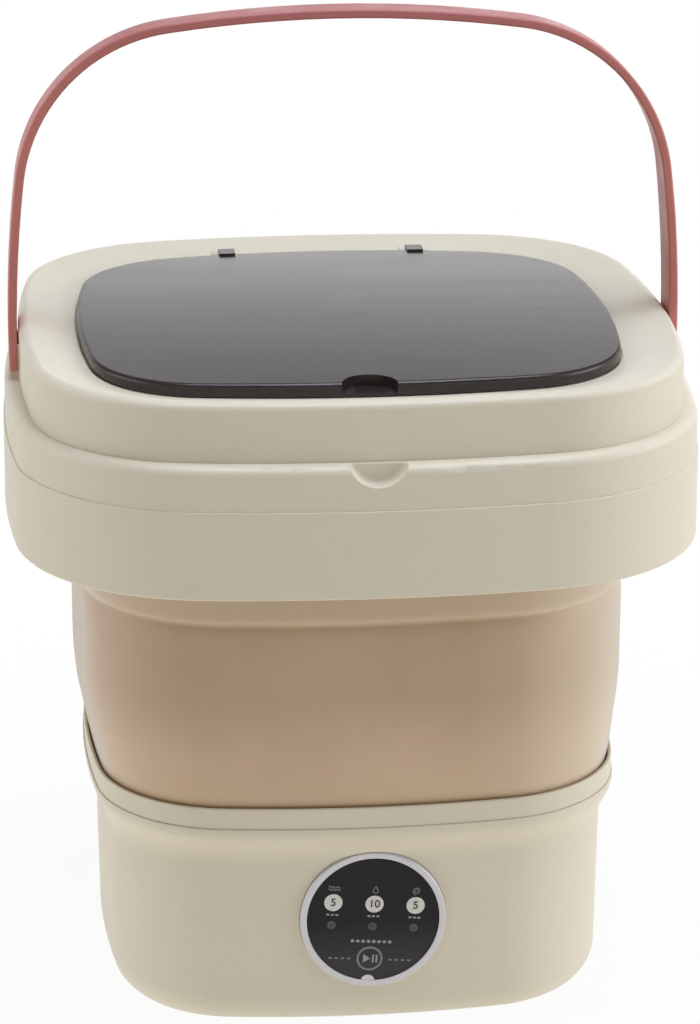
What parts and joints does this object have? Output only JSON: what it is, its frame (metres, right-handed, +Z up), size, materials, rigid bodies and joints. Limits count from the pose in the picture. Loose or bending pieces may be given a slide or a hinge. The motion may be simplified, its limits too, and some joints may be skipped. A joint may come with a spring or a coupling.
{
  "type": "compact washing machine",
  "caption": "Folding mini washing machine: rounded square base with motor, pulsator and touch panel, soft folding tub wall, rigid collar with lid, and a carrying strap that folds down.",
  "frame": {"origin": "on the floor under the middle of the base", "axes": "+Z up, the round panel faces -Y, the lid hinge and the drain are at +Y"},
  "size_m": [0.3108, 0.304, 0.446],
  "materials": {
    "cream": "satin",
    "grey_plastic": "matte",
    "bowl_plastic": "semi-gloss",
    "tan_rubber": "matte",
    "black_rubber": "matte",
    "steel": "satin",
    "zinc_steel": "satin",
    "core_steel": "satin",
    "cast_alloy": "cast",
    "copper": "enamelled",
    "magnet": "matte",
    "silver": "satin metal look",
    "panel_black": "gloss",
    "board": "satin",
    "chip_black": "matte",
    "socket_black": "matte",
    "lid_dark": "semi-gloss",
    "strap_red": "satin",
    "strap_red_hard": "satin"
  },
  "bodies": {
    "base": {"base_shell": "cream", "base_rim": "cream", "bottom_cover": "grey_plastic", "cover_screws": "steel", "feet": "black_rubber", "tub_bowl": "bowl_plastic", "bellows": "tan_rubber", "bearing_housing": "cast_alloy", "housing_screws": "steel", "shaft_bearings": "steel", "shaft_seal": "black_rubber", "motor_stator": "core_steel", "stator_coils": "copper", "panel_bezel": "silver", "panel_face": "panel_black", "control_board": "board", "board_parts": "chip_black", "board_screws": "steel", "power_socket": "socket_black", "socket_nut": "zinc_steel", "drain_spout": "grey_plastic", "drain_gasket": "black_rubber", "drain_nut": "grey_plastic"},
    "drive": {"drive_shaft": "steel", "magnet_ring": "magnet", "rotor_cup": "zinc_steel", "rotor_nut": "steel", "pulsator": "bowl_plastic", "pulsator_screw": "steel", "pulsator_cap": "bowl_plastic"},
    "collar": {"collar_skirt": "cream", "collar_band": "cream", "top_deck": "cream", "neck_hoop": "zinc_steel", "collar_screws": "steel", "hinge_pins": "steel", "strap_pivots": "strap_red_hard"},
    "lid": {"lid": "lid_dark"},
    "strap": {"strap": "strap_red"},
    "plug": {"drain_plug": "black_rubber"}
  },
  "joints": [
    {"name": "drive_spin", "type": "hinge", "parent": "base", "child": "drive", "pos_m": [0, 0, 0.05], "axis": [0, 0, 1], "continuous": true},
    {"name": "collar_fold", "type": "slide", "parent": "base", "child": "collar", "axis": [0, 0, -1], "range_m": [0, 0.16], "deforming": ["bellows"]},
    {"name": "lid_hinge", "type": "hinge", "parent": "collar", "child": "lid", "pos_m": [0, 0.1156, 0.3029], "axis": [-1, 0, 0], "range_deg": [0, 40]},
    {"name": "strap_swing", "type": "hinge", "parent": "collar", "child": "strap", "pos_m": [0, 0, 0.298], "axis": [1, 0, 0], "range_deg": [-88, 88]},
    {"name": "plug_pull", "type": "slide", "parent": "base", "child": "plug", "axis": [0, 1, 0], "range_m": [0, 0.03]}
  ]
}
